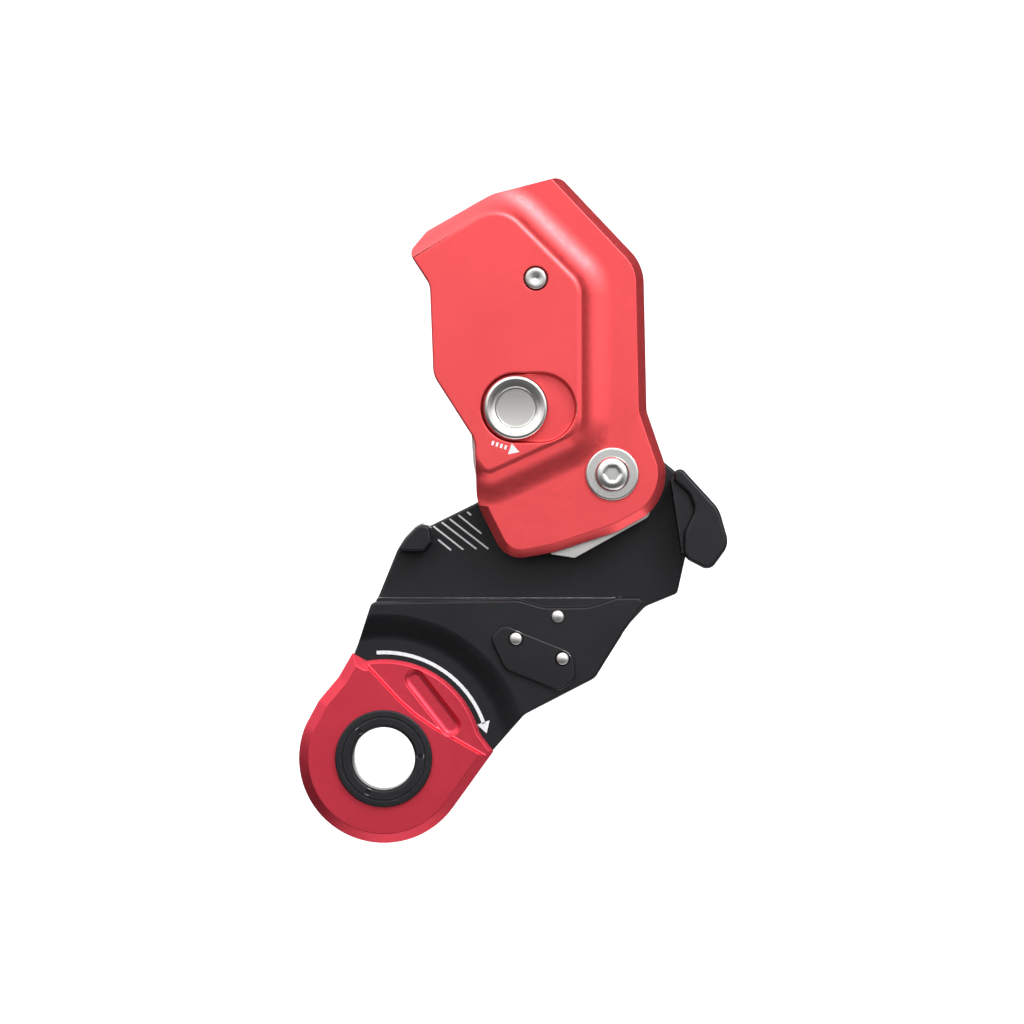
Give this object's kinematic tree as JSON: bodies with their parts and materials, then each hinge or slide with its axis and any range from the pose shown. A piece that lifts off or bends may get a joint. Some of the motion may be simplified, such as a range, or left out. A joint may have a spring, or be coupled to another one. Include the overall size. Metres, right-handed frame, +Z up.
{
  "type": "ascender",
  "caption": "Mechanical ascender: black frame with an open rope channel, sprung red head with a steel cam and a sheave, sliding release button, and a red lever about the anchor eye.",
  "frame": {"origin": "on the centre line of an 11 mm rope in the channel, straight below the head's pivot bolt", "axes": "+X along the rope away from the anchor eye, +Z up towards the sheave, -Y out of the front"},
  "size_m": [0.1104, 0.0358, 0.1713],
  "materials": {
    "red_anodised": "satin red anodised, fine blasted grain",
    "black_anodised": "satin black anodised",
    "black_steel": "blackened hardened steel",
    "steel": "satin stainless steel",
    "polished_steel": "polished stainless steel",
    "spring_steel": "bright drawn wire",
    "clear_anodised": "clear anodised, turned"
  },
  "bodies": {
    "frame": {"rear_frame": "black_anodised", "front_frame": "black_anodised", "jaw_insert": "black_steel", "jaw_rivet": "steel", "cover_plate": "black_anodised", "cover_rivet_upper": "steel", "cover_rivet_lower": "steel", "eye_bush": "steel", "eye_nut": "black_anodised", "detent_ball": "polished_steel", "detent_spring": "spring_steel", "closing_spring": "spring_steel"},
    "head": {"pivot_bolt": "steel", "pivot_washer": "steel", "pivot_sleeve": "steel", "rear_washer": "steel", "pivot_nut": "steel", "front_cheek": "red_anodised", "cam": "steel", "cam_screw_upper": "steel", "cam_screw_lower": "steel", "sheave_axle": "steel", "button_spring": "spring_steel"},
    "sheave": {"sheave": "clear_anodised", "sheave_bearing": "polished_steel"},
    "rear_cheek": {"rear_cheek": "red_anodised"},
    "button": {"release_button": "polished_steel", "latch_slide": "steel"},
    "eye_lever": {"eye_lever": "red_anodised"}
  },
  "joints": [
    {"name": "head_pivot", "type": "hinge", "parent": "frame", "child": "head", "pos_m": [0, 0, 0.026], "axis": [0, 1, 0], "range_deg": [-12, 44], "stiffness_Nm_per_rad": 0.9, "deforming": ["closing_spring"]},
    {"name": "sheave_spin", "type": "hinge", "parent": "head", "child": "sheave", "pos_m": [-0.0197, 0, 0.0762], "axis": [0, 1, 0], "continuous": true},
    {"name": "rear_cheek_swing", "type": "hinge", "parent": "head", "child": "rear_cheek", "pos_m": [0, 0, 0.026], "axis": [0, 1, 0], "range_deg": [0, 70]},
    {"name": "button_slide", "type": "slide", "parent": "head", "child": "button", "axis": [1, 0, 0], "range_m": [0, 0.0064], "stiffness_N_per_m": 900, "springref_m": -0.004, "deforming": ["button_spring"]},
    {"name": "eye_lever_turn", "type": "hinge", "parent": "frame", "child": "eye_lever", "pos_m": [-0.0588, 0, -0.0472], "axis": [0, 1, 0], "range_deg": [0, 75]}
  ]
}
